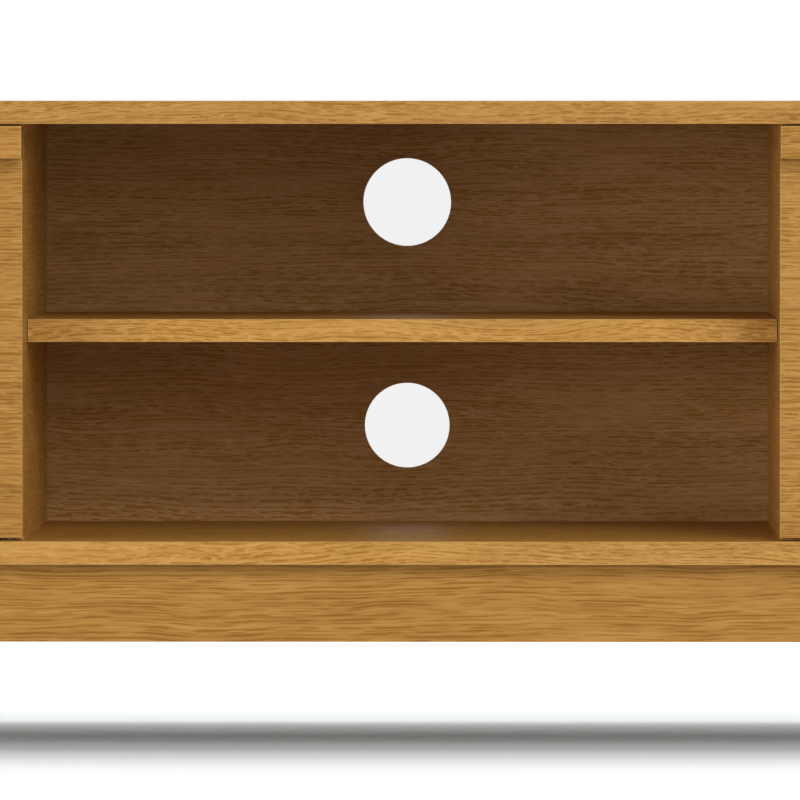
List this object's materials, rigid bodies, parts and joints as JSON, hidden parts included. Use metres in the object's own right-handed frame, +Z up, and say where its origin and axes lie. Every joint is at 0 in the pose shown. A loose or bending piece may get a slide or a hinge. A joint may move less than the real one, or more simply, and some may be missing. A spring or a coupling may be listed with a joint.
{
  "type": "media cabinet",
  "caption": "Low wide oak effect media cabinet on short legs, with an open shelved bay and round cable holes between hinged cupboard doors with full-width finger pulls.",
  "frame": {"origin": "on the floor, under the middle of the cabinet's outer box", "axes": "+X along the cabinet to the right as seen from the front, +Y from the front to the back, +Z up"},
  "size_m": [1.2, 0.39, 0.425],
  "materials": {
    "oak_laminate_board": "honey oak effect laminate, satin, with fine straight grain running along the cabinet",
    "oak_print_hardboard": "printed oak effect on thin hardboard, matt",
    "turned_oak": "turned oak, satin lacquer",
    "beech": "plain beech, unfinished",
    "zinc_plated_fastener": "zinc plated, slightly dull",
    "bright_steel": "nickel plated, satin",
    "white_nylon": "moulded nylon, matt",
    "brown_plastic": "extruded brown plastic, matt",
    "black_felt": "black floor glide, matt",
    "ferrite": "dark ferrite magnet, matt",
    "clear_soft_plastic": "soft translucent self-adhesive bumper"
  },
  "bodies": {
    "cabinet": {"top_board": "oak_laminate_board", "bottom_board": "oak_laminate_board", "left_side_panel": "oak_laminate_board", "right_side_panel": "oak_laminate_board", "left_divider": "oak_laminate_board", "right_divider": "oak_laminate_board", "bay_shelf": "oak_laminate_board", "bay_shelf_dowels": "bright_steel", "left_shelf": "oak_laminate_board", "right_shelf": "oak_laminate_board", "left_shelf_pins": "bright_steel", "right_shelf_pins": "bright_steel", "centre_back_panel": "oak_print_hardboard", "left_back_panel": "oak_print_hardboard", "right_back_panel": "oak_print_hardboard", "left_back_joiner": "brown_plastic", "right_back_joiner": "brown_plastic", "top_cam_bolts": "zinc_plated_fastener", "top_cam_locks": "zinc_plated_fastener", "bottom_cam_bolts": "zinc_plated_fastener", "bottom_cam_locks": "zinc_plated_fastener", "top_dowels": "beech", "bottom_dowels": "beech", "front_apron": "oak_laminate_board", "rear_apron": "oak_laminate_board", "left_apron": "oak_laminate_board", "right_apron": "oak_laminate_board", "centre_stretcher": "oak_laminate_board", "apron_dowels": "beech", "apron_cleats": "beech", "cleat_screws": "zinc_plated_fastener", "front_left_leg": "turned_oak", "front_right_leg": "turned_oak", "rear_left_leg": "turned_oak", "rear_right_leg": "turned_oak", "leg_plates": "bright_steel", "leg_plate_screws": "zinc_plated_fastener", "leg_hanger_bolts": "zinc_plated_fastener", "leg_glides": "black_felt", "left_catch": "white_nylon", "right_catch": "white_nylon", "left_catch_magnet": "ferrite", "right_catch_magnet": "ferrite", "catch_screws": "zinc_plated_fastener", "left_door_bumpers": "clear_soft_plastic", "right_door_bumpers": "clear_soft_plastic", "left_pivot_bushes": "white_nylon", "right_pivot_bushes": "white_nylon"},
    "left_door": {"left_door_panel": "oak_laminate_board", "left_finger_pull": "oak_laminate_board", "left_finger_pull_screws": "zinc_plated_fastener", "left_pivot_pins": "bright_steel", "left_strike_plate": "bright_steel", "left_strike_screws": "zinc_plated_fastener"},
    "right_door": {"right_door_panel": "oak_laminate_board", "right_finger_pull": "oak_laminate_board", "right_finger_pull_screws": "zinc_plated_fastener", "right_pivot_pins": "bright_steel", "right_strike_plate": "bright_steel", "right_strike_screws": "zinc_plated_fastener"}
  },
  "joints": [
    {"name": "left_door_hinge", "type": "hinge", "parent": "cabinet", "child": "left_door", "pos_m": [-0.593, -0.1725, 0.274], "axis": [0, 0, -1], "range_deg": [0, 105]},
    {"name": "right_door_hinge", "type": "hinge", "parent": "cabinet", "child": "right_door", "pos_m": [0.593, -0.1725, 0.274], "axis": [0, 0, 1], "range_deg": [0, 105]}
  ]
}
